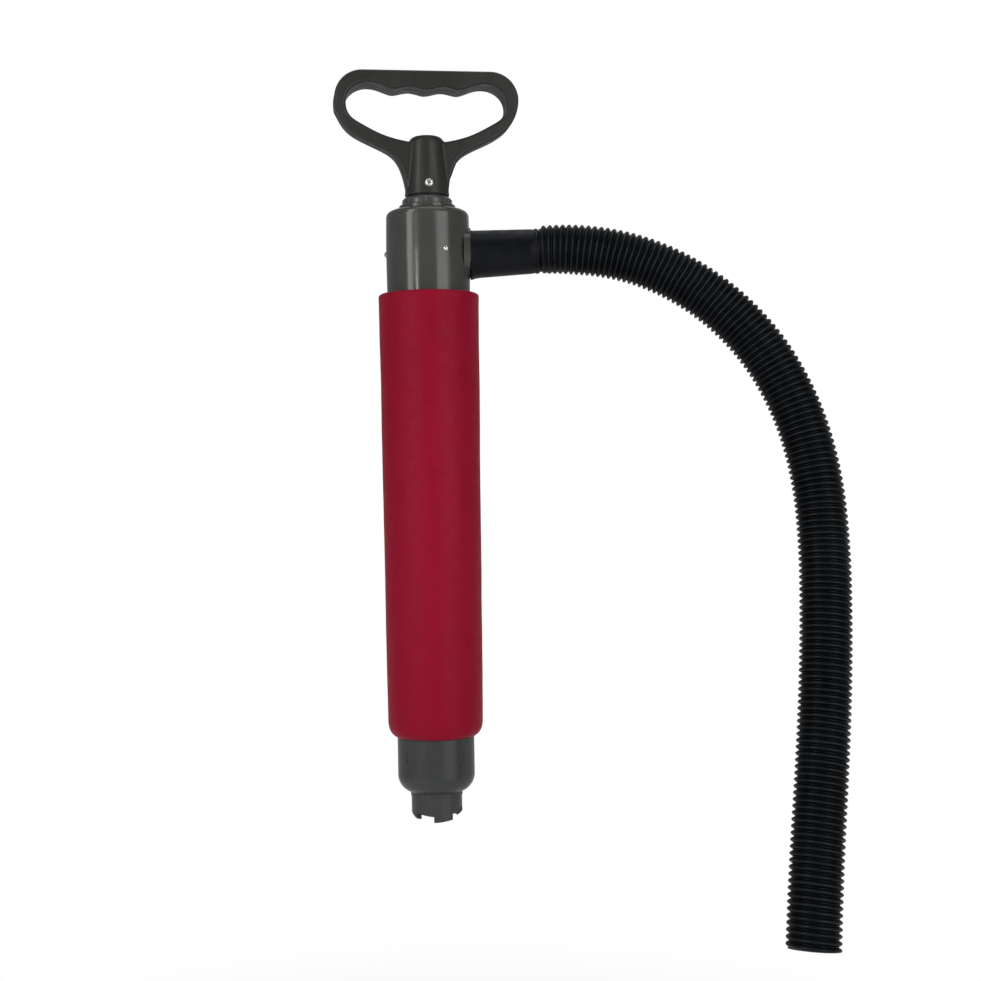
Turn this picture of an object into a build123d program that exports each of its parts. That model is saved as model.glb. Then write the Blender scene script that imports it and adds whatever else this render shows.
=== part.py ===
from build123d import *
from math import cos, radians, sin, tan
import os

os.makedirs("parts", exist_ok=True)

# A hand-operated bilge pump. Millimetres. +Z runs up the barrel, +X points along the outlet, and the origin
# is the centre of the foam float. The plunger is pushed right in, as it is when the pump is put away.

# ---- Driving dimensions ------------------------------------------------------------------------------------
FIT = 0.05                      # radial clearance of anything that slides or turns in a bore
BARREL_R = 24.0                 # outside radius of the barrel tube
BARREL_BORE_R = 22.0
FLOAT_R = 33.5
FLOAT_HALF = 152.0              # half the float's length
FLOAT_EDGE = 6.0                # rounding of the float's lower rim
HEAD_R = 28.5
HEAD_RIDGE = 0.35               # how far the moulding's parting line stands out
NECK_R = 19.4
ROD_R = 10.0
ROD_BORE_R = 8.0
HANDLE_TURN = 8.0               # degrees: the grip is turned this far about the barrel's axis
OUTLET_Z = 180.0
SPIGOT_R = 12.9
SPIGOT_BORE_R = 10.5
SCREW_ANGLES = (-62.5, 57.5, 177.5)
HOSE_R = 17.2                   # over the crests of the corrugation
HOSE_BORE_R = 13.5
STROKE = 280.0                  # how far the plunger pulls out
VALVE_LIFT = 4.0                # how far each rubber valve disc lifts off its seat

# Heights along the barrel's axis
BARREL_FOOT = -176.0
BARREL_TOP = 200.0
HEAD_TOP = 210.5
NECK_TOP = 213.0
GLAND_TOP = 218.0
HANDLE_RIM = 219.4
HANDLE_TOP = 304.0
ROD_TOP = 238.0
BUSH_FOOT = 198.0
HOUSING_SHOULDER = -180.0
CORNER_TOP = -178.0             # where the housing's big rounded corner starts
FOOT_TIP = -209.0
TOOTH_HEIGHT = 3.9
PISTON_FOOT = -156.0
PISTON_TOP = -144.0


# ---- Small helpers -----------------------------------------------------------------------------------------
def cylinder(radius, low, high):
    """An upright solid cylinder on the Z axis between two heights."""
    return Pos(0, 0, low) * Cylinder(radius, high - low, align=(Align.CENTER, Align.CENTER, Align.MIN))


def tube(outer, inner, low, high):
    return cylinder(outer, low, high) - cylinder(inner, low - 1, high + 1)


def turned(*points):
    """A solid of revolution about Z from (radius, height) corners."""
    return revolve(Plane.XZ * make_face(Polyline(*points, close=True)), Axis.Z)


def along_x(radius, low, high, height):
    """A cylinder whose axis runs along +X at the given height."""
    return Pos(low, 0, height) * Rot(0, 90, 0) * Cylinder(
        radius, high - low, align=(Align.CENTER, Align.CENTER, Align.MIN))


def holes(radius, pitch_radius, count, low, high):
    """Upright drills spaced evenly on a circle."""
    drills = []
    for index in range(count):
        drills.append(Rot(0, 0, 360 / count * index) * Pos(pitch_radius, 0, 0) * cylinder(radius, low, high))
    return drills


def save(shape, name):
    shape.label = name
    export_step(shape, f"parts/{name}.step")


# ---- Barrel and float --------------------------------------------------------------------------------------
PORT_R = 12.0
SCREW_HOLE_R = 1.5


def screw_holes(inner, outer):
    return [Rot(0, 0, angle) * along_x(SCREW_HOLE_R, inner, outer, OUTLET_Z) for angle in SCREW_ANGLES]


def make_barrel():
    body = tube(BARREL_R, BARREL_BORE_R, BARREL_FOOT, BARREL_TOP)
    return body - along_x(PORT_R, 0, BARREL_R + 5, OUTLET_Z) - screw_holes(BARREL_BORE_R - 3, BARREL_R + 3)


def make_float():
    """Closed-cell foam sleeve, trapped between the head and the foot valve housing."""
    body = tube(FLOAT_R, BARREL_R + FIT, -FLOAT_HALF, FLOAT_HALF)
    outer_edges = body.edges().filter_by(GeomType.CIRCLE).sort_by(SortBy.RADIUS)[-2:].sort_by(Axis.Z)
    body = fillet(outer_edges[0], FLOAT_EDGE)
    top_edge = body.edges().filter_by(GeomType.CIRCLE).sort_by(Axis.Z)[-2:].sort_by(SortBy.RADIUS)[-1]
    return fillet(top_edge, 2.0)


# ---- Head with its side outlet -----------------------------------------------------------------------------
BOSS_R = 17.3
BOSS_FACE = 29.5
SPIGOT_END = 68.0
GLAND_SEAT = 204.0
GLAND_BORE_R = 15.0
BUSH_R = 12.5
O_RING_Z = 160.0


def make_head():
    outline = [
        (BARREL_R + FIT, FLOAT_HALF),
        (HEAD_R, FLOAT_HALF),
        (HEAD_R + HEAD_RIDGE, OUTLET_Z),
        (HEAD_R, HEAD_TOP - 5.5),
        (HEAD_R - 0.5, HEAD_TOP - 3.7),
        (HEAD_R - 1.6, HEAD_TOP - 2.4),
        (HEAD_R - 3.4, HEAD_TOP - 1.4),
        (HEAD_R - 7.0, HEAD_TOP - 0.3),
        (NECK_R, HEAD_TOP),
        (NECK_R, NECK_TOP - 0.6),
        (NECK_R - 0.6, NECK_TOP),
        (GLAND_BORE_R, NECK_TOP),
        (GLAND_BORE_R, GLAND_SEAT),
        (BUSH_R, GLAND_SEAT),
        (BUSH_R, BARREL_TOP),
        (BARREL_R + FIT, BARREL_TOP),
    ]
    body = turned(*outline)
    boss = along_x(BOSS_R, BARREL_R + 1, BOSS_FACE, OUTLET_Z)
    spigot = along_x(SPIGOT_R, BARREL_R + 1, SPIGOT_END, OUTLET_Z)
    body = body + (boss + spigot - cylinder(BARREL_R + 1, FLOAT_HALF, BARREL_TOP))
    body -= along_x(SPIGOT_BORE_R, 0, SPIGOT_END + 1, OUTLET_Z)
    body -= screw_holes(BARREL_R - 1, HEAD_R + 3)
    groove = tube(BARREL_R + 1.95, BARREL_R - 1, O_RING_Z - 1.3, O_RING_Z + 1.3)
    return body - groove


def make_head_screws():
    """Three dome-headed stainless screws that pin the head to the barrel."""
    seat = HEAD_R + HEAD_RIDGE
    tip = BARREL_BORE_R + 0.2
    profile = make_face(
        Line((tip, 0), (seat + 1.5, 0))
        + ThreePointArc((seat + 1.5, 0), (seat + 1.0, 1.35), (seat, 2.1))
        + Polyline((seat, 2.1), (seat, SCREW_HOLE_R - 0.1), (tip, SCREW_HOLE_R - 0.1), (tip, 0)))
    screw = Pos(0, 0, OUTLET_Z) * revolve(Plane.XY * profile, Axis.X)
    return Compound(children=[Rot(0, 0, angle) * screw for angle in SCREW_ANGLES])


def o_ring(centre_r, section_r, height):
    return Pos(0, 0, height) * Torus(centre_r, section_r)


# ---- Gland at the top of the head --------------------------------------------------------------------------
BUSH_TOP = GLAND_SEAT + 2
WIPER_TOP = BUSH_TOP + 2.8
GLAND_NUT_R = 17.2


def make_rod_bush():
    flange = tube(GLAND_BORE_R - FIT, ROD_R + FIT, GLAND_SEAT, BUSH_TOP)
    return flange + tube(BUSH_R - FIT, ROD_R + FIT, BUSH_FOOT, BUSH_TOP)


def make_rod_wiper():
    """Rubber ring that wipes the rod, with a lip that leans in towards it."""
    return turned((ROD_R + FIT, WIPER_TOP), (ROD_R + FIT, WIPER_TOP - 0.8), (ROD_R + 1.2, BUSH_TOP),
                  (GLAND_BORE_R - FIT, BUSH_TOP), (GLAND_BORE_R - FIT, WIPER_TOP))


def make_gland_nut():
    """Knurled ring that screws into the neck and holds the wiper and bush down."""
    body = turned((ROD_R + 0.5, WIPER_TOP), (GLAND_BORE_R - FIT, WIPER_TOP), (GLAND_BORE_R - FIT, NECK_TOP),
                  (GLAND_NUT_R, NECK_TOP), (GLAND_NUT_R, GLAND_TOP - 1.6), (GLAND_NUT_R - 1.4, GLAND_TOP),
                  (ROD_R + 0.5, GLAND_TOP))
    return body - holes(0.7, GLAND_NUT_R + 0.4, 24, NECK_TOP + 0.8, GLAND_TOP + 1)


# ---- Foot valve housing ------------------------------------------------------------------------------------
HOUSING_R = 26.4
CORNER_R = 12.5
INTAKE_R = 17.4
INTAKE_BORE_R = 13.5
CHAMBER_R = 20.0
# The intake's end isn't flat: how far out along X, and how much higher it is there than in the middle.
TIP_RISE = [(8.0, 0.8), (14.5, 2.6), (17.4, 5.3), (20.0, 8.5)]
NOTCH_ANGLE = -27.5
NOTCH_WIDTH = 45.0              # degrees
FOOT_RING_Z = -157.9
SEAT_TOP = BARREL_FOOT
STEM_R = 2.0


def corner_arc():
    """The housing's big rounded corner, from its straight wall down to the intake neck."""
    centre_r = HOUSING_R - CORNER_R
    neck_drop = (CORNER_R ** 2 - (INTAKE_R - centre_r) ** 2) ** 0.5
    middle = (centre_r + CORNER_R * cos(radians(40)), CORNER_TOP - CORNER_R * sin(radians(40)))
    return ThreePointArc((HOUSING_R, CORNER_TOP), middle, (INTAKE_R, CORNER_TOP - neck_drop))


def intake_tip():
    """What is cut from the intake's end: it rises towards both sides, and its edge has four notches."""
    flat = FOOT_TIP - 5
    rise = [(x, FOOT_TIP + height) for x, height in TIP_RISE]
    left = [(-x, z) for x, z in reversed(rise)]
    below = make_face(
        Spline(*left, (0, FOOT_TIP), *rise)
        + Polyline(rise[-1], (rise[-1][0], flat), (left[0][0], flat), left[0]))
    below = extrude(Plane.XZ * below, 20, both=True)
    half_notch = 30 * tan(radians(NOTCH_WIDTH / 2))
    wedge = extrude(make_face(Polyline((0, 0), (30, -half_notch), (30, half_notch), close=True)), 20)
    cut = below
    for quarter in range(4):
        notch = Rot(0, 0, NOTCH_ANGLE + 90 * quarter) * Pos(0, 0, flat) * wedge
        cut += notch & (Pos(0, 0, TOOTH_HEIGHT) * below)
    return cut


def make_foot_housing():
    corner = corner_arc()
    neck_start = corner @ 1
    profile = make_face(
        corner
        + Polyline((neck_start.X, neck_start.Y), (INTAKE_R, FOOT_TIP), (INTAKE_BORE_R, FOOT_TIP),
                   (INTAKE_BORE_R, -189), (CHAMBER_R, -184), (CHAMBER_R, HOUSING_SHOULDER),
                   (BARREL_R + FIT, HOUSING_SHOULDER), (BARREL_R + FIT, -FLOAT_HALF),
                   (HOUSING_R, -FLOAT_HALF), (HOUSING_R, CORNER_TOP)))
    body = revolve(Plane.XZ * profile, Axis.Z)
    body += tube(INTAKE_R + 0.45, INTAKE_BORE_R, -192.2, -189.6)
    # The notches let water in even when the foot is pressed on a floor.
    body -= intake_tip()
    # Four shallow pockets show where the barrel snaps in.
    for quarter in range(4):
        body -= Rot(0, 0, -45 + 90 * quarter) * Pos(HOUSING_R, 0, -164.5) * Box(0.8, 2.4, 8.0)
    groove = tube(BARREL_R + 1.3, BARREL_R - 1, FOOT_RING_Z - 1.1, FOOT_RING_Z + 1.1)
    return body - groove


def make_valve_seat():
    """Perforated disc under the barrel's end. Its water holes are what the foot valve disc covers."""
    body = cylinder(BARREL_R - 0.1, HOUSING_SHOULDER, SEAT_TOP)
    return body - holes(2.6, 10.5, 8, HOUSING_SHOULDER - 1, SEAT_TOP + 1) - cylinder(STEM_R, -190, -170)


def make_valve_stem():
    """Headed stem that the foot valve disc rides up and down on."""
    top = SEAT_TOP + 2 + VALVE_LIFT + 0.3
    body = cylinder(STEM_R, HOUSING_SHOULDER - 1, top) + cylinder(5.0, top, top + 1.4)
    return body + cylinder(3.4, HOUSING_SHOULDER - 2, HOUSING_SHOULDER)


def make_foot_valve():
    return tube(15.5, STEM_R + FIT, SEAT_TOP, SEAT_TOP + 2)


# ---- Piston and rod ----------------------------------------------------------------------------------------
PISTON_R = 21.2
SEAL_GROOVE_R = 17.0
HUB_R = 6.0
HUB_TOP = PISTON_TOP + 2 + VALVE_LIFT + 0.3
STOP_TOP = HUB_TOP + 2.0
BOLT_R = 2.5
STOP_SLEEVE_TOP = BUSH_FOOT - 0.3 - STROKE


def make_piston():
    body = tube(PISTON_R, BOLT_R, PISTON_FOOT, PISTON_TOP)
    body -= tube(PISTON_R + 1, SEAL_GROOVE_R, PISTON_FOOT + 2, PISTON_TOP - 2)
    body += tube(HUB_R, BOLT_R, PISTON_TOP, HUB_TOP)
    return body - holes(2.5, 11.0, 8, PISTON_FOOT - 1, PISTON_TOP + 1)


def make_piston_seal():
    """Rubber ring that seals the piston to the barrel. It stays still while the rod turns inside it."""
    low = PISTON_FOOT + 2.2
    high = PISTON_TOP - 2.2
    lip = BARREL_BORE_R - FIT
    return turned((SEAL_GROOVE_R + FIT, low), (lip - 1, low), (lip, low + 1.2), (lip, low + 2.4),
                  (lip - 0.8, low + 3.0), (lip - 0.8, high - 3.0), (lip, high - 2.4), (lip, high - 1.2),
                  (lip - 1, high), (SEAL_GROOVE_R + FIT, high))


def make_piston_valve():
    return tube(15.0, HUB_R + FIT, PISTON_TOP, PISTON_TOP + 2)


def make_piston_bolt():
    head = extrude(RegularPolygon(5.0, 6), 4)
    return Pos(0, 0, PISTON_FOOT - 4) * head + cylinder(BOLT_R - 0.05, PISTON_FOOT, STOP_TOP + 16)


def make_rod_plug():
    return tube(ROD_BORE_R - 0.05, BOLT_R, STOP_TOP, STOP_TOP + 20)


def handle_cross(radius, reach):
    """A cylinder through the handle socket from front to back, where its rivet goes."""
    return Rot(0, 0, HANDLE_TURN) * Pos(0, 0, RIVET_Z) * Rot(90, 0, 0) * Cylinder(radius, 2 * reach)


# ---- Handle ------------------------------------------------------------------------------------------------
RIVET_Z = 226.5
RIVET_R = 1.8
RIVET_SEAT = 15.1               # half the distance between the rivet's two heads
SOCKET_R = 15.35
DOME_R = 12.3
DOME_TOP = 260.5
DOME_ROUNDING = 5.0
ARM_BLEND = 2.5
GRIP_HALF_DEPTH = 12.0
ARM_HALF_DEPTH = 7.0
HALF_WIDTH = 63.3
TOP_CORNER_R = 19.4
FINGER_PITCH = 22.5             # spacing of the bumps between the finger hollows
BUMP_Z = 290.8
HOLLOW_Z = 292.8
RIM_ROUNDING = 2.0


def mirrored(points):
    """The same points on the left side, in the order that carries an outline on round."""
    return [(-x, z) for x, z in reversed(points)]


def handle_outline():
    """The handle seen from the front: a flat-topped loop whose arms sweep in to the rod's socket."""
    corner_x = HALF_WIDTH - TOP_CORNER_R
    corner_z = HANDLE_TOP - TOP_CORNER_R
    arm = [(HALF_WIDTH, corner_z), (62.2, 276.5), (56.8, 266.6), (44.8, 257.6), (31.6, 251.3), (25.0, 247.4),
           (20.6, 242.6), (16.6, 233.0), (SOCKET_R - 1.0, HANDLE_RIM + 2)]
    right = (CenterArc((corner_x, corner_z), TOP_CORNER_R, 0, 90),
             Spline(*arm, tangents=[(0, -1), (-0.1, -1)]))
    left = (CenterArc((-corner_x, corner_z), TOP_CORNER_R, 90, 90),
            Spline(*mirrored(arm), tangents=[(-0.1, 1), (0, 1)]))
    top = Line((corner_x, HANDLE_TOP), (-corner_x, HANDLE_TOP))
    foot = Line(arm[-1], (-arm[-1][0], arm[-1][1]))
    return make_face(Wire([*right[0].edges(), *right[1].edges(), *left[0].edges(), *left[1].edges(),
                           *top.edges(), *foot.edges()]))


def hand_opening():
    """The hole for the hand, with hollows for four fingers along its upper side."""
    right = [(3.5, BUMP_Z + 0.5), (FINGER_PITCH / 2, HOLLOW_Z), (FINGER_PITCH - 3.5, BUMP_Z + 0.7),
             (FINGER_PITCH, BUMP_Z + 0.2), (FINGER_PITCH + 3.5, BUMP_Z + 0.9), (32.0, 293.9), (41.0, 295.3),
             (49.3, 292.6), (54.9, 285.5), (53.2, 274.4), (45.5, 268.6), (31.0, 261.3), (16.0, 257.0)]
    return make_face(Spline((0, BUMP_Z), *right, (0, 255.4), *mirrored(right), periodic=True))


def depth_outline():
    """The handle seen from the side: deep at the grip, and thinner down the arms."""
    return make_face(
        Spline((GRIP_HALF_DEPTH, 288), (9.2, 276), (ARM_HALF_DEPTH, 262), tangents=[(0, -1), (0, -1)])
        + Polyline((ARM_HALF_DEPTH, 262), (ARM_HALF_DEPTH, HANDLE_RIM), (-ARM_HALF_DEPTH, HANDLE_RIM),
                   (-ARM_HALF_DEPTH, 262))
        + Spline((-ARM_HALF_DEPTH, 262), (-9.2, 276), (-GRIP_HALF_DEPTH, 288), tangents=[(0, 1), (0, 1)])
        + Polyline((-GRIP_HALF_DEPTH, 288), (-GRIP_HALF_DEPTH, HANDLE_TOP + 1),
                   (GRIP_HALF_DEPTH, HANDLE_TOP + 1), (GRIP_HALF_DEPTH, 288)))


def soften(loop):
    """Round the loop's front and back edges, all the way round its outside and its opening."""
    faces = loop.faces().filter_by(lambda face: abs(face.normal_at().Y) > 0.7)
    rims = faces.edges().filter_by(lambda edge: edge.center().Z > HANDLE_RIM + 5)
    creases = rims.filter_by(Axis.X).filter_by(lambda edge: edge.center().Z < HANDLE_TOP - 1)
    return fillet([edge for edge in rims if edge not in creases], RIM_ROUNDING)


def make_socket():
    """The rod's socket: a tapered boss with a rounded top, in the middle of the handle's lower side."""
    shoulder = (DOME_R, DOME_TOP - DOME_ROUNDING)
    middle = (DOME_R - 0.3 * DOME_ROUNDING, DOME_TOP - 0.3 * DOME_ROUNDING)
    crown = (DOME_R - DOME_ROUNDING, DOME_TOP)
    profile = make_face(
        Polyline((0, HANDLE_RIM), (SOCKET_R - 0.6, HANDLE_RIM), (SOCKET_R, HANDLE_RIM + 0.6), shoulder)
        + ThreePointArc(shoulder, middle, crown)
        + Polyline(crown, (0, DOME_TOP), (0, HANDLE_RIM)))
    return revolve(Plane.XZ * profile, Axis.Z)


def blend_arms(body):
    """Round the inner corners where the arms' front and back faces meet the socket."""
    inner = body.edges().filter_by(
        lambda edge: abs(abs(edge.center().Y) - ARM_HALF_DEPTH) < 0.01 and abs(edge.center().X) < SOCKET_R
        and DOME_TOP > edge.center().Z > HANDLE_RIM + 3)
    return fillet(inner, ARM_BLEND)


def make_handle():
    loop = extrude(Plane.XZ * (handle_outline() - hand_opening()), GRIP_HALF_DEPTH + 2, both=True)
    loop = loop & extrude(Plane.YZ * depth_outline(), HALF_WIDTH + 5, both=True)
    body = blend_arms(soften(loop) + make_socket())
    body = Rot(0, 0, HANDLE_TURN) * body
    body -= cylinder(ROD_R + FIT, HANDLE_RIM - 1, ROD_TOP)
    return body - handle_cross(RIVET_R, SOCKET_R + 3)


def make_rod():
    body = tube(ROD_R, ROD_BORE_R, STOP_TOP, ROD_TOP)
    return body - handle_cross(RIVET_R, SOCKET_R + 3)


def make_stop_sleeve():
    """Spacer on the rod that meets the bush at the end of the stroke, below the outlet port."""
    return tube(13.0, ROD_R + FIT, STOP_TOP, STOP_SLEEVE_TOP)


def make_stop_washer():
    return tube(14.5, BOLT_R, HUB_TOP, STOP_TOP)


def make_handle_bumper():
    return tube(13.5, ROD_R + FIT, GLAND_TOP + 0.3, HANDLE_RIM)


def make_handle_rivet():
    """Rivet through the socket and the rod, domed at both ends, with a dimple in each dome."""
    half = make_face(
        Polyline((0, 0), (RIVET_R - 0.05, 0), (RIVET_R - 0.05, RIVET_SEAT), (3.0, RIVET_SEAT),
                 (3.0, RIVET_SEAT + 0.5))
        + ThreePointArc((3.0, RIVET_SEAT + 0.5), (2.2, RIVET_SEAT + 1.4), (0.95, RIVET_SEAT + 1.7))
        + Polyline((0.95, RIVET_SEAT + 1.7), (0.95, RIVET_SEAT - 1.5), (0, RIVET_SEAT - 1.5), (0, 0)))
    half = revolve(half, Axis.Y)
    rivet = half + mirror(half, Plane.XZ)
    return Rot(0, 0, HANDLE_TURN) * Pos(0, 0, RIVET_Z) * rivet


# ---- Discharge hose ----------------------------------------------------------------------------------------
CUFF_END = 77.8                 # the route's first point is the middle of the cuff's end
CUFF_LIP_R = 16.9
CUFF_R = 15.3                   # at the corrugated end
# Where the hose runs: straight out of its cuff, over in a wide bend, and down to its bare end.
HOSE_ROUTE = [
    (77.8, 0, 180), (122, -3, 176.5), (165, -8, 162), (201, -13, 138.5), (229.5, -19, 107), (248.5, -25, 72),
    (259.5, -31, 30), (263, -37.5, -15), (262.5, -44, -57), (260.5, -51.5, -101), (256.5, -59, -145),
    (251.5, -68, -190), (246, -78, -235), (239, -90, -278),
]


def hose_path():
    """Straight runs joined by tangent arcs, each as large as its two runs allow."""
    points = [Vector(*point) for point in HOSE_ROUTE]
    radii = []
    for before, corner, after in zip(points, points[1:], points[2:]):
        shorter = min((corner - before).length, (after - corner).length)
        turn = (corner - before).get_angle(after - corner)
        radii.append(0.45 * shorter / tan(radians(turn) / 2))
    print("hose arc radii:", [round(radius) for radius in radii])
    return FilletPolyline(*points, radius=radii)


def make_hose_cuff(start):
    """Smooth moulded end of the hose, pushed over the head's spigot and cut square to the hose at its end."""
    body = turned((SPIGOT_R + 0.1, BOSS_FACE), (CUFF_LIP_R, BOSS_FACE), (CUFF_LIP_R, BOSS_FACE + 1.5),
                  (CUFF_LIP_R - 0.7, BOSS_FACE + 3), (CUFF_R, CUFF_END), (CUFF_R, CUFF_END + 4),
                  (HOSE_BORE_R, CUFF_END + 4), (HOSE_BORE_R, SPIGOT_END + 1),
                  (SPIGOT_R + 0.1, SPIGOT_END + 1))
    body = Pos(0, 0, OUTLET_Z) * Rot(0, 90, 0) * body
    return split(body, bisect_by=start, keep=Keep.BOTTOM)


def make_hose(path, start):
    ring = start * (Circle(HOSE_R) - Circle(HOSE_BORE_R))
    body = sweep(ring, path=path)
    expected = ring.area * path.length
    print(f"hose length {path.length:.1f} mm, volume {body.volume:.0f} against {expected:.0f} mm3")
    return body


# ---- Write one file per piece ------------------------------------------------------------------------------
save(make_barrel(), "barrel")
save(make_float(), "float_sleeve")
save(make_head(), "head")
save(make_head_screws(), "head_screws")
save(o_ring(BARREL_R + 0.98, 0.92, O_RING_Z), "head_o_ring")
save(make_rod_bush(), "rod_bush")
save(make_rod_wiper(), "rod_wiper")
save(make_gland_nut(), "gland_nut")
save(make_foot_housing(), "foot_housing")
save(o_ring(BARREL_R + 0.66, 0.62, FOOT_RING_Z), "foot_o_ring")
save(make_valve_seat(), "valve_seat")
save(make_valve_stem(), "valve_stem")
save(make_foot_valve(), "foot_valve_disc")
save(make_piston(), "piston")
save(make_piston_seal(), "piston_seal")
save(make_piston_valve(), "piston_valve_disc")
save(make_stop_washer(), "valve_stop_washer")
save(make_piston_bolt(), "piston_bolt")
save(make_rod(), "rod")
save(make_rod_plug(), "rod_plug")
save(make_stop_sleeve(), "stop_sleeve")
save(make_handle(), "handle")
save(make_handle_bumper(), "handle_bumper")
save(make_handle_rivet(), "handle_rivet")
route = hose_path()
hose_start = Plane(origin=route @ 0, z_dir=route % 0)
save(make_hose_cuff(hose_start), "hose_cuff")
save(make_hose(route, hose_start), "hose")
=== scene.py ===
import math

import bpy
import numpy as np
from mathutils import Matrix, Vector, noise


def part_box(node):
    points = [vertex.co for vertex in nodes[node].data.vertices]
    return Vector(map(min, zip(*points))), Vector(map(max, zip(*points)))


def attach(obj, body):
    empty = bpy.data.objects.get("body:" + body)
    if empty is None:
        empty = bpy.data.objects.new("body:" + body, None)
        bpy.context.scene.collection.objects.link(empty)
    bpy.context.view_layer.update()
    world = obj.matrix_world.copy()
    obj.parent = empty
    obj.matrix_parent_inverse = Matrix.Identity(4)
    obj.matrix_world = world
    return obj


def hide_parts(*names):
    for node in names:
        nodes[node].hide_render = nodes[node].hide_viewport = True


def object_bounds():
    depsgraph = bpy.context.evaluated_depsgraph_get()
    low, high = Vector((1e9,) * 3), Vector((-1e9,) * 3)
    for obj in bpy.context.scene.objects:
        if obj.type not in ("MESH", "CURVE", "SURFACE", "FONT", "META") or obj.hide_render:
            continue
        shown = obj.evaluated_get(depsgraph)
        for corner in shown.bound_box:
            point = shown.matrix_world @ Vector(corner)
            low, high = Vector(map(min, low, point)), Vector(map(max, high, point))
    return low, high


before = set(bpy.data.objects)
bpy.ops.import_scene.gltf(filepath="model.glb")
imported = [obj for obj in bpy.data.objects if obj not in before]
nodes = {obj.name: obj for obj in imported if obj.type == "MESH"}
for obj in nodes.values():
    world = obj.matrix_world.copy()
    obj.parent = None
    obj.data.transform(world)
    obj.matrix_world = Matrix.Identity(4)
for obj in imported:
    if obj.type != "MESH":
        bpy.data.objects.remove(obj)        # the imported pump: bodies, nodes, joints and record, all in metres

MM = 0.001
cad_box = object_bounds()
scene = bpy.context.scene
scene.view_settings.view_transform = "Standard"

# ---- Camera, floor and light ---------------------------------------------------------------------
CAMERA_PLACE = Vector((0.0404, -1.138, 0.0162))
CAMERA_ROLL = math.radians(0.94)
CAMERA_LENS = 60.55
FLOOR_REACH = 40.0
HANDLE_TURN = math.radians(8)   # the handle is turned this far about the barrel's axis
FLOOR_DROP = 0.16               # how far below the hose's end the floor lies
DIM_WALL = 0.14                 # the surround's brightness in front of the pump
BRIGHT_WALL = 0.32              # and behind it


def make_camera():
    data = bpy.data.cameras.new("camera")
    data.lens = CAMERA_LENS
    data.sensor_width = 36.0
    camera = bpy.data.objects.new("camera", data)
    scene.collection.objects.link(camera)
    camera.matrix_world = (Matrix.Translation(CAMERA_PLACE) @ Matrix.Rotation(CAMERA_ROLL, 4, "Y")
                           @ Matrix.Rotation(math.radians(90), 4, "X"))
    scene.camera = camera


def make_light(name, place, target, size, power):
    data = bpy.data.lights.new(name, "AREA")
    data.shape = "RECTANGLE"
    data.size, data.size_y = size
    data.energy = power
    light = bpy.data.objects.new(name, data)
    scene.collection.objects.link(light)
    light.location = place
    light.rotation_euler = (Vector(target) - Vector(place)).to_track_quat("-Z", "Y").to_euler()


def make_world():
    """White where the camera sees it. What it lights gets a bright back wall and a dim front one."""
    world = bpy.data.worlds.new("studio")
    scene.world = world
    world.use_nodes = True
    tree = world.node_tree
    seen = tree.nodes["Background"]
    seen.inputs["Color"].default_value = (1.0, 1.0, 1.0, 1)
    lit = tree.nodes.new("ShaderNodeBackground")
    way = tree.nodes.new("ShaderNodeTexCoord")
    parts = tree.nodes.new("ShaderNodeSeparateXYZ")
    tree.links.new(way.outputs["Generated"], parts.inputs[0])
    wall = tree.nodes.new("ShaderNodeMapRange")
    wall.interpolation_type = "SMOOTHSTEP"
    span = {"From Min": -0.3, "From Max": 0.85, "To Min": DIM_WALL, "To Max": BRIGHT_WALL}
    for key, value in span.items():
        wall.inputs[key].default_value = value
    tree.links.new(parts.outputs["Y"], wall.inputs["Value"])
    tree.links.new(wall.outputs["Result"], lit.inputs["Strength"])
    ray = tree.nodes.new("ShaderNodeLightPath")
    mix = tree.nodes.new("ShaderNodeMixShader")
    tree.links.new(ray.outputs["Is Camera Ray"], mix.inputs["Fac"])
    tree.links.new(lit.outputs[0], mix.inputs[1])
    tree.links.new(seen.outputs[0], mix.inputs[2])
    tree.links.new(mix.outputs[0], tree.nodes["World Output"].inputs["Surface"])


def make_floor():
    """A wide pale floor that fades into the white surround, so that no horizon shows."""
    height = cad_box[0].z - FLOOR_DROP
    corners = [(x * FLOOR_REACH, y * FLOOR_REACH, height) for x, y in ((-1, -1), (1, -1), (1, 1), (-1, 1))]
    mesh = bpy.data.meshes.new("floor")
    mesh.from_pydata(corners, [], [(0, 1, 2, 3)])
    floor = bpy.data.objects.new("floor", mesh)
    scene.collection.objects.link(floor)
    look = Shader("floor_paint")
    far = look.node("ShaderNodeVectorMath", {0: look.place}, operation="LENGTH").outputs["Value"]
    fade = look.span(far, 0.15, 0.75, 0.35, 1.0)
    look.set("Base Color", (0.86, 0.86, 0.86, 1))
    look.set("Roughness", 0.9)
    look.set("Specular IOR Level", 0.1)
    glow = look.node("ShaderNodeEmission", {"Strength": 1.0})
    seen = look.node("ShaderNodeLightPath").outputs["Is Camera Ray"]
    fade = look.maths("MULTIPLY", fade, look.span(seen, 0.0, 1.0, 0.25, 1.0))
    mix = look.node("ShaderNodeMixShader", {"Fac": fade, 1: look.bsdf.outputs[0], 2: glow.outputs[0]})
    look.link(mix.outputs[0], look.tree.nodes["Material Output"].inputs["Surface"])
    look.dress(floor)


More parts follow.
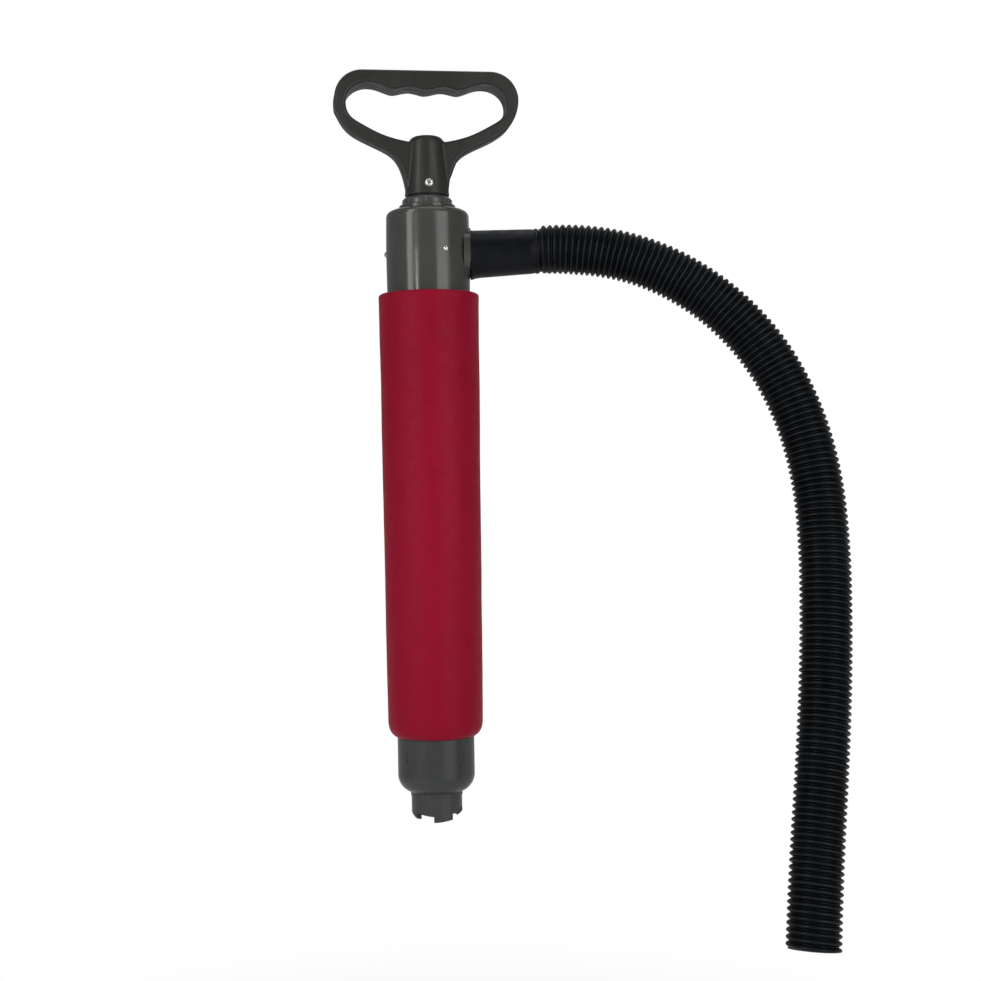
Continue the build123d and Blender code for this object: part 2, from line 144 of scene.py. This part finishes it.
# ---- Materials -----------------------------------------------------------------------------------
class Shader:
    """Builds one procedural material on a Principled shader, node by node."""

    def __init__(self, name):
        self.material = bpy.data.materials.new(name)
        self.material.use_nodes = True
        self.tree = self.material.node_tree
        self.bsdf = self.tree.nodes["Principled BSDF"]
        self.place = self.node("ShaderNodeTexCoord").outputs["Object"]

    def link(self, source, target):
        self.tree.links.new(source, target)

    def node(self, kind, inputs=None, **settings):
        made = self.tree.nodes.new(kind)
        for key, value in settings.items():
            setattr(made, key, value)
        for key, value in (inputs or {}).items():
            if isinstance(value, bpy.types.NodeSocket):
                self.link(value, made.inputs[key])
            else:
                made.inputs[key].default_value = value
        return made

    def set(self, key, value):
        """Gives one of the shader's own sockets a constant or a link."""
        if isinstance(value, bpy.types.NodeSocket):
            self.link(value, self.bsdf.inputs[key])
        else:
            self.bsdf.inputs[key].default_value = value

    def noise(self, scale, detail=3.0, stretch=(1, 1, 1)):
        spot = self.node("ShaderNodeMapping", {"Vector": self.place, "Scale": stretch}).outputs[0]
        inputs = {"Vector": spot, "Scale": scale, "Detail": detail}
        return self.node("ShaderNodeTexNoise", inputs).outputs["Fac"]

    def span(self, value, low, high, to_low, to_high):
        made = self.node("ShaderNodeMapRange", {"Value": value, "From Min": low, "From Max": high,
                                                "To Min": to_low, "To Max": to_high},
                         interpolation_type="SMOOTHSTEP")
        return made.outputs["Result"]

    def maths(self, operation, first, second):
        return self.node("ShaderNodeMath", {0: first, 1: second}, operation=operation).outputs[0]

    def blend(self, share, first, second):
        """Mixes two colours."""
        made = self.node("ShaderNodeMix", data_type="RGBA")
        sockets = [made.inputs["Factor"]] + [s for s in made.inputs if s.type == "RGBA"]
        for socket, value in zip(sockets, (share, first, second)):
            if isinstance(value, bpy.types.NodeSocket):
                self.link(value, socket)
            else:
                socket.default_value = value
        return [s for s in made.outputs if s.type == "RGBA"][0]

    def bump(self, height, depth, strength=1.0, over=None):
        """A normal from a height of 0 to 1 that stands for so many metres."""
        inputs = {"Height": height, "Distance": depth, "Strength": strength}
        if over is not None:
            inputs["Normal"] = over
        return self.node("ShaderNodeBump", inputs).outputs["Normal"]

    def edges(self, width):
        """1 along edges sharper than the width, 0 on open faces, and a normal that rounds them."""
        rounded = self.node("ShaderNodeBevel", {"Radius": width}, samples=6).outputs["Normal"]
        plain = self.node("ShaderNodeNewGeometry").outputs["Normal"]
        facing = self.node("ShaderNodeVectorMath", {0: rounded, 1: plain}, operation="DOT_PRODUCT")
        return self.span(facing.outputs["Value"], 1.0, 0.86, 0.0, 1.0), rounded

    def dress(self, piece):
        if not piece.material_slots:
            piece.data.materials.append(self.material)
        for slot in piece.material_slots:
            slot.material = self.material


def shade(colour, factor):
    return (colour[0] * factor, colour[1] * factor, colour[2] * factor, 1)


def moulded_plastic(name, colour, rough, specular=0.45, worn=1.9):
    """Injection-moulded plastic: cloudy colour, faint drag scratches, soft waves and paler worn edges."""
    wave_height, grain_height, edge_width = 0.00006, 0.000012, 0.0005
    look = Shader(name)
    edge, rounded = look.edges(edge_width)
    cloud = look.noise(22, 4)
    fleck = look.noise(900, 2)
    base = look.blend(look.span(cloud, 0.3, 0.7, 0, 1), shade(colour, 0.88), shade(colour, 1.14))
    base = look.blend(look.span(fleck, 0.62, 0.75, 0, 0.35), base, shade(colour, 1.5))
    scuff = look.noise(160, 4, (1, 1, 0.12))
    wear = look.maths("MULTIPLY", edge, look.span(look.noise(120, 3), 0.4, 0.62, 0.25, 1.0))
    look.set("Base Color", look.blend(look.maths("MULTIPLY", wear, 0.5), base, shade(colour, worn)))
    look.set("Roughness", look.maths("ADD", look.span(scuff, 0.35, 0.7, rough - 0.05, rough + 0.09),
                                     look.maths("MULTIPLY", wear, 0.12)))
    look.set("Specular IOR Level", specular)
    waves = look.bump(look.noise(38, 2, (1, 1, 0.35)), wave_height, 1.0, rounded)
    look.set("Normal", look.bump(look.noise(1500, 2), grain_height, 1.0, waves))
    return look


def handle_plastic():
    """The handle's plastic, with the raised line that its mould left along the middle of its depth, and painted
    shadow in bands either side of it.
    """
    look = moulded_plastic("handle_plastic_look", (0.0225, 0.0225, 0.0210), 0.38, specular=0.22)
    turned = look.node("ShaderNodeMapping", {"Vector": look.place, "Rotation": (0, 0, -HANDLE_TURN)})
    depth = look.node("ShaderNodeSeparateXYZ", {"Vector": turned.outputs[0]}).outputs["Y"]
    off = look.maths("ABSOLUTE", depth, 0.0)
    ridge = look.span(off, 0.0008, 0.0016, 1.0, 0.0)
    below = look.bsdf.inputs["Normal"].links[0].from_socket
    look.set("Normal", look.bump(ridge, 0.0009, 1.0, below))
    # Painted shadow: the colour darkens in bands either side of the raised line.
    shadow = look.maths("SUBTRACT", look.span(off, 0.0016, 0.0028, 1.0, 0.0), ridge)
    base = look.bsdf.inputs["Base Color"].links[0].from_socket
    look.set("Base Color", look.blend(look.maths("MULTIPLY", shadow, 0.7), base, (0.006, 0.006, 0.006, 1)))
    return look


def foam_skin():
    """Closed-cell foam with a fused skin: crimson with cloudy patches, tiny pores, small dents and paler
    upright streaks, partly wear and partly painted highlight.
    """
    colour = (0.228, 0.0022, 0.0165)
    look = Shader("crimson_foam")
    cloud = look.noise(9, 5, (1, 1, 0.4))
    patch = look.noise(55, 4)
    base = look.blend(look.span(cloud, 0.3, 0.7, 0, 1), shade(colour, 0.94), (0.25, 0.0036, 0.0215, 1))
    base = look.blend(look.span(patch, 0.5, 0.75, 0, 0.35), base, shade(colour, 0.82))
    # Paler, pinker upright streaks: partly rubbed wear, partly painted highlight bands.
    wear_and_painted_highlight = look.span(look.noise(75, 5, (1, 1, 0.25)), 0.66, 0.8, 0, 0.2)
    look.set("Base Color", look.blend(wear_and_painted_highlight, base, (0.31, 0.02, 0.04, 1)))
    look.set("Roughness", look.span(look.noise(120, 4), 0.3, 0.7, 0.42, 0.58))
    look.set("Specular IOR Level", 0.07)
    look.set("Sheen Weight", 0.07)
    look.set("Sheen Roughness", 0.4)
    look.set("Sheen Tint", (1.0, 0.75, 0.78, 1))
    dents = look.bump(look.noise(26, 3, (1, 1, 0.5)), 0.0006, 1.0)
    pores = look.node("ShaderNodeTexVoronoi", {"Vector": look.place, "Scale": 1400.0}).outputs["Distance"]
    look.set("Normal", look.bump(look.span(pores, 0.0, 0.5, 0, 1), 0.00004, 0.6, dents))
    return look


def vinyl(name, colour, rough, specular, rib_light):
    """Flexible black vinyl, cloudy and slightly uneven, with paler crests where it has ribs, partly rubbed wear
    and partly painted highlight.
    """
    look = Shader(name)
    rib = look.node("ShaderNodeAttribute", attribute_name="rib").outputs["Fac"]
    cloud = look.noise(30, 4)
    base = look.blend(look.span(cloud, 0.35, 0.7, 0, 1), shade(colour, 0.8), shade(colour, 1.25))
    # Paler crests on the ribs: partly rubbed wear, partly painted highlight lines.
    wear_and_painted_highlight = look.maths("MULTIPLY", look.span(rib, 0.75, 1.0, 0, rib_light),
                        look.span(look.noise(90, 4), 0.35, 0.65, 0.4, 1))
    look.set("Base Color", look.blend(wear_and_painted_highlight, base, (0.022, 0.026, 0.03, 1)))
    look.set("Roughness", look.span(look.noise(140, 4), 0.3, 0.7, rough - 0.06, rough + 0.1))
    look.set("Specular IOR Level", specular)
    drag = look.noise(260, 3)
    look.set("Normal", look.bump(drag, 0.00005, 0.8))
    return look


def steel(name, rough):
    """Polished stainless steel with fine turning marks and a few dull spots."""
    colour = (0.62, 0.61, 0.58)
    look = Shader(name)
    tarnish = look.noise(700, 4)
    look.set("Base Color", look.blend(look.span(tarnish, 0.45, 0.75, 0, 1), shade(colour, 1.0),
                                      shade(colour, 0.72)))
    look.set("Metallic", 1.0)
    look.set("Roughness", look.span(look.noise(1800, 3), 0.3, 0.7, rough - 0.06, rough + 0.12))
    look.set("Normal", look.bump(look.noise(2500, 2), 0.00001, 0.7))
    return look


def rubber(name):
    look = Shader(name)
    dust = look.span(look.noise(260, 4), 0.45, 0.8, 0, 0.5)
    look.set("Base Color", look.blend(dust, (0.011, 0.011, 0.011, 1), (0.035, 0.033, 0.03, 1)))
    look.set("Roughness", look.span(look.noise(300, 3), 0.3, 0.7, 0.55, 0.75))
    look.set("Specular IOR Level", 0.35)
    look.set("Normal", look.bump(look.noise(1200, 3), 0.00003, 0.8))
    return look


def anodised_rod():
    look = Shader("anodised_rod")
    drawn = look.noise(420, 4, (1, 1, 0.03))
    look.set("Base Color", look.blend(look.span(drawn, 0.35, 0.7, 0, 1), (0.5, 0.51, 0.52, 1),
                                      (0.64, 0.65, 0.66, 1)))
    look.set("Metallic", 1.0)
    look.set("Roughness", look.span(drawn, 0.3, 0.7, 0.24, 0.38))
    look.set("Normal", look.bump(drawn, 0.00001, 0.8))
    return look


# ---- Mesh tools ----------------------------------------------------------------------------------
def mesh_object(name, points, faces, ribs=None):
    mesh = bpy.data.meshes.new(name)
    mesh.from_pydata(points, [], faces)
    mesh.polygons.foreach_set("use_smooth", [True] * len(mesh.polygons))
    if ribs is not None:
        layer = mesh.attributes.new("rib", "FLOAT", "POINT")
        layer.data.foreach_set("value", ribs)
    mesh.validate()
    mesh.update()
    piece = bpy.data.objects.new(name, mesh)
    scene.collection.objects.link(piece)
    return piece


def ring_faces(rings, segments):
    """Quads between neighbouring rings, and from the last ring back to the first."""
    faces = []
    for ring in range(rings):
        low = ring * segments
        high = (ring + 1) % rings * segments
        for index in range(segments):
            after = (index + 1) % segments
            faces.append((low + index, low + after, high + after, high + index))
    return faces


def arc(centre, radius, start, end, count):
    """Points (radius, height) round an arc, in degrees."""
    points = []
    for step in range(count + 1):
        angle = math.radians(start + (end - start) * step / count)
        points.append((centre[0] + radius * math.cos(angle), centre[1] + radius * math.sin(angle)))
    return points


def straight(first, last, count):
    """Points between two ends, both left out."""
    points = []
    for step in range(1, count):
        share = step / count
        points.append((first[0] + (last[0] - first[0]) * share, first[1] + (last[1] - first[1]) * share))
    return points


# ---- Foam float ----------------------------------------------------------------------------------
def make_float():
    """The foam sleeve: a soft rim at the top, a rounder one below, slightly uneven all over."""
    low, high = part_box("float_sleeve")
    bottom, top = low.z / MM, high.z / MM
    bore = 24.2
    base_r, top_r = 32.6, 34.35
    round_wide, round_tall, round_top = 6.5, 9.7, 2.2
    round_steps = 12
    rim_height, rim_flare = 6, 0.3      # the top rim flares out a little over this height
    segments = 176
    lower = [(base_r + 0.1, bottom + 0.1 + round_tall)]
    for step in range(1, round_steps + 1):
        angle = math.radians(90 * step / round_steps)
        lower.append((base_r - round_wide * (1 - math.cos(angle)),
                      bottom + 0.1 + round_tall * (1 - math.sin(angle))))
    lower.reverse()
    upper = arc((top_r - round_top, top - round_top - 0.1), round_top, 0, 90, 6)
    outline = [(bore, bottom + 0.1)] + straight((bore, bottom + 0.1), lower[0], 3)
    outline += lower + straight(lower[-1], upper[0], 64) + upper
    outline += straight(upper[-1], (bore, top - 0.1), 3) + [(bore, top - 0.1)]
    outline += straight((bore, top - 0.1), (bore, bottom + 0.1), 10)
    points = []
    for radius, height in outline:
        for index in range(segments):
            angle = 2 * math.pi * index / segments
            out = Vector((math.cos(angle), math.sin(angle), 0))
            swell = 0.0
            if radius > bore + 4:
                spot = Vector((out.x * 1.1, out.y * 1.1, height / 55))
                swell = 0.30 * noise.noise(spot) + 0.10 * noise.noise(spot * 4.1 + Vector((7, 3, 1)))
                flare = max(0.0, 1 - (top - height) / rim_height)
                swell += rim_flare * flare * flare
            points.append(((radius + swell) * MM * out.x, (radius + swell) * MM * out.y, height * MM))
    piece = mesh_object("foam_float", points, ring_faces(len(outline), segments))
    foam_skin().dress(piece)
    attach(piece, "pump_body")
    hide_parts("float_sleeve")


# ---- Discharge hose ------------------------------------------------------------------------------
# The route in millimetres: straight out of the cuff, over in a wide bend, and down to the bare end.
HOSE_ROUTE = [
    (77.8, 0, 180.8), (103, -2.5, 182.5), (151.1, -7, 171.7), (193, -11.5, 146.9), (226.2, -17, 112.1),
    (248.4, -24, 69.2), (259.8, -31, 23.1), (262.4, -39, -25), (260.8, -47.5, -73), (257.6, -56.5, -120),
    (252.9, -66, -167), (247.3, -76, -214), (243, -85.5, -252), (240.9, -90, -279),
]
CREST_R = 17.2
ROOT_R = 14.7
END_GROWTH = 0.7                # what the radius gains over the second half, up to the free end
RIB_RISE = 25                   # the ribs rise over this length underneath, by the cuff
UNDER_FLATTENING = 0.65         # the share of their height that they lack there at first
LEVEL_R = CREST_R - 2.1         # the outline where there are no ribs, level with the cuff's end
BORE_R = 13.5
PITCH = 4.08                    # from one rib to the next near the cuff
HANG_PITCH = 4.34               # and at the free end, where the hose's weight has stretched it
HANG_FROM = 270                 # how far along the hose the stretch begins
SEGMENTS = 56


def read_route():
    """Points along the smooth line of the route, in metres."""
    curve = bpy.data.curves.new("hose_route", "CURVE")
    curve.dimensions = "3D"
    spline = curve.splines.new("NURBS")
    spline.points.add(len(HOSE_ROUTE) - 1)
    for point, place in zip(spline.points, HOSE_ROUTE):
        point.co = (*(Vector(place) * MM), 1)
    spline.order_u = 3
    spline.use_endpoint_u = True
    spline.resolution_u = 40
    holder = bpy.data.objects.new("hose_route", curve)
    scene.collection.objects.link(holder)
    mesh = bpy.data.meshes.new_from_object(holder)
    line = np.array([vertex.co for vertex in mesh.vertices])
    bpy.data.objects.remove(holder)
    return line


class Line:
    """A route with a frame that is carried along it without twisting."""

    def __init__(self, points):
        steps = np.linalg.norm(np.diff(points, axis=0), axis=1)
        keep = np.concatenate([[True], steps > 1e-7])
        self.points = points[keep]
        steps = np.linalg.norm(np.diff(self.points, axis=0), axis=1)
        self.along = np.concatenate([[0], np.cumsum(steps)])
        self.length = self.along[-1]
        self.ways = np.gradient(self.points, self.along, axis=0)
        self.ways /= np.linalg.norm(self.ways, axis=1)[:, None]
        side = np.array([0.0, -1.0, 0.0])
        sides = []
        for way in self.ways:
            side = side - way * side.dot(way)
            side /= np.linalg.norm(side)
            sides.append(side)
        self.sides = np.array(sides)

    def _read(self, table, distance):
        return np.array([np.interp(distance, self.along, table[:, axis]) for axis in range(3)])

    def spot(self, distance, radius, angle):
        """The point at a distance along the route, a radius out, at an angle round it."""
        place = self._read(self.points, distance)
        way = self._read(self.ways, distance)
        side = self._read(self.sides, distance)
        across = np.cross(way, side)
        return place + radius * (math.cos(angle) * side + math.sin(angle) * across)


def count_turns(line):
    """How many ribs lie before each distance along the line, as a table."""
    distances = np.linspace(0, line.length, 400)
    stretch = np.clip((distances / MM - HANG_FROM) / (line.length / MM - HANG_FROM), 0, 1)
    pitches = (PITCH + (HANG_PITCH - PITCH) * stretch) * MM
    steps = np.diff(distances) * 0.5 * (1 / pitches[1:] + 1 / pitches[:-1])
    return distances, np.concatenate([[0], np.cumsum(steps)])


def hose_mesh(line):
    """The hose's outside with its one left-handed screw rib, and its bore."""
    distances, turn_table = count_turns(line)
    length = line.length
    rings_per_rib = 10
    mouth_rings, bore_rings = 60, 130
    mouth, mouth_fade = 0.03, 0.01      # how far in the free end's bore has fine rings, and its faint ribs
    faint_rib = 0.6
    count = int(length / (PITCH * MM) * rings_per_rib)
    outside = [length * ring / count for ring in range(count + 1)]
    inside = [length - mouth * ring / mouth_rings for ring in range(mouth_rings + 1)]
    inside += [(length - mouth) * (1 - ring / bore_rings) for ring in range(1, bore_rings + 1)]
    rings = [(distance, True) for distance in outside] + [(distance, False) for distance in inside]
    points, ribs = [], []
    for distance, outer in rings:
        turns = np.interp(distance, distances, turn_table) + 0.5
        for index in range(SEGMENTS):
            angle = 2 * math.pi * index / SEGMENTS
            rib = abs(math.cos(math.pi * (turns + angle / (2 * math.pi))))
            if outer:
                # On the upper side the ribs are fully raised almost at once.
                under = 0.5 + 0.5 * math.sin(angle)
                risen = 1 - UNDER_FLATTENING * under * max(0.0, 1 - distance / (RIB_RISE * MM))
                settle = min(1.0, distance / (2 * MM))
                full = ROOT_R + (CREST_R - ROOT_R) * rib
                radius = LEVEL_R + (full - LEVEL_R) * risen * settle
                radius += END_GROWTH * max(0.0, 2 * distance / length - 1)
            elif length - distance < mouth:
                fade = min(1.0, (mouth - (length - distance)) / mouth_fade)
                radius = BORE_R + faint_rib * rib * (1 - fade)
            else:
                radius = BORE_R
            points.append(line.spot(distance, radius * MM, angle))
            ribs.append(rib if outer else 0.0)
    return points, ring_faces(len(rings), SEGMENTS), ribs


def make_hose():
    line = Line(read_route())
    points, faces, ribs = hose_mesh(line)
    piece = mesh_object("corrugated_hose", points, faces, ribs)
    vinyl("ribbed_vinyl", (0.0022, 0.0031, 0.0042), 0.33, 0.12, 0.25).dress(piece)
    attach(piece, "pump_body")
    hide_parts("hose")


CUFF_START = Vector((0.0285, 0, 0.1790))
CUFF_END = Vector((0.0778, 0, 0.18075))


def make_cuff():
    """The hose's smooth end: it tapers from the head, sags a little at its mouth and ends on a small rib."""
    way = (CUFF_END - CUFF_START).normalized()
    front = Vector((0, -1, 0))
    down = way.cross(front)
    # Distance from the mouth and outside radius, in millimetres.
    outline = [(0.0, 15.9), (0.0, 16.4), (0.5, 16.8), (1.6, 16.7), (2.8, 16.4), (6, 16.25), (14, 16.1),
               (24, 15.8), (34, 15.5), (41, 15.3), (43.6, 15.2), (44.2, 14.95), (44.8, 14.95), (45.4, 15.35),
               (46.4, 15.5), (47.2, 15.3), (47.8, 14.8), (48.2, 14.3), (51.0, 14.2)]
    inner = [(51.0, 13.55), (36.5, 13.55), (36.3, 12.95), (18, 12.95), (0.0, 12.95)]
    segments = 96
    sag_reach, sag_depth = 9, 0.75      # how far the mouth's sag goes, and how deep it is at the edge
    rings = outline + inner
    points = []
    for distance, radius in rings:
        for index in range(segments):
            angle = 2 * math.pi * index / segments
            sag = 0.0
            if radius > 13 and distance < sag_reach:
                sag = sag_depth * (1 - distance / sag_reach) ** 2 * max(0.0, math.sin(angle)) ** 2
            out = front * math.cos(angle) + down * math.sin(angle)
            wobble = 0.05 * noise.noise(Vector((distance / 9, out.y * 1.5, out.z * 1.5)))
            spread = radius + sag + (wobble if radius > 14 else 0)
            points.append(CUFF_START + way * distance * MM + out * spread * MM)
    piece = mesh_object("hose_cuff_moulded", points, ring_faces(len(rings), segments),
                        [0.0] * len(points))
    vinyl("cuff_vinyl", (0.0036, 0.0042, 0.0058), 0.36, 0.11, 0.0).dress(piece)
    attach(piece, "pump_body")
    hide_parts("hose_cuff")


# ---- Build it ------------------------------------------------------------------------------------
make_camera()
make_world()
make_floor()
make_light("key", (-1.02, -0.9, 0.6), (0.05, 0, 0.05), (0.4, 1.3), 9)
make_light("fill", (1.05, -1.15, 0.35), (0.05, 0, 0.0), (0.9, 1.4), 14)
make_light("top", (0.1, 0.1, 1.5), (0.05, 0, 0.0), (1.2, 1.2), 7)
make_light("strip", (-0.58, -1.05, 0.107), (0, 0, 0.107), (0.07, 0.5), 2.4)
make_light("back", (0.3, 1.3, 0.9), (0.05, 0, 0.0), (1.4, 1.2), 1.5)

LOOKS = {
    handle_plastic(): ["handle"],
    moulded_plastic("head_plastic_look", (0.049, 0.0505, 0.0465), 0.16, specular=0.34):
        ["head", "gland_nut"],
    moulded_plastic("foot_plastic_look", (0.040, 0.0425, 0.0412), 0.26, specular=0.25): ["foot_housing"],
    moulded_plastic("pipe_look", (0.5, 0.5, 0.48), 0.4, worn=1.2): ["barrel"],
    moulded_plastic("inner_plastic_look", (0.45, 0.45, 0.42), 0.45, worn=1.2):
        ["rod_bush", "valve_seat", "valve_stem", "piston", "rod_plug", "stop_sleeve"],
    rubber("seal_rubber_look"):
        ["head_o_ring", "rod_wiper", "foot_o_ring", "foot_valve_disc", "piston_seal", "piston_valve_disc",
         "handle_bumper"],
    steel("stainless_look", rough=0.16): ["head_screws", "valve_stop_washer", "piston_bolt"],
    steel("rivet_look", rough=0.38): ["handle_rivet"],
    anodised_rod(): ["rod"],
}
for look, names in LOOKS.items():
    for name in names:
        look.dress(nodes[name])

make_float()
make_hose()
make_cuff()
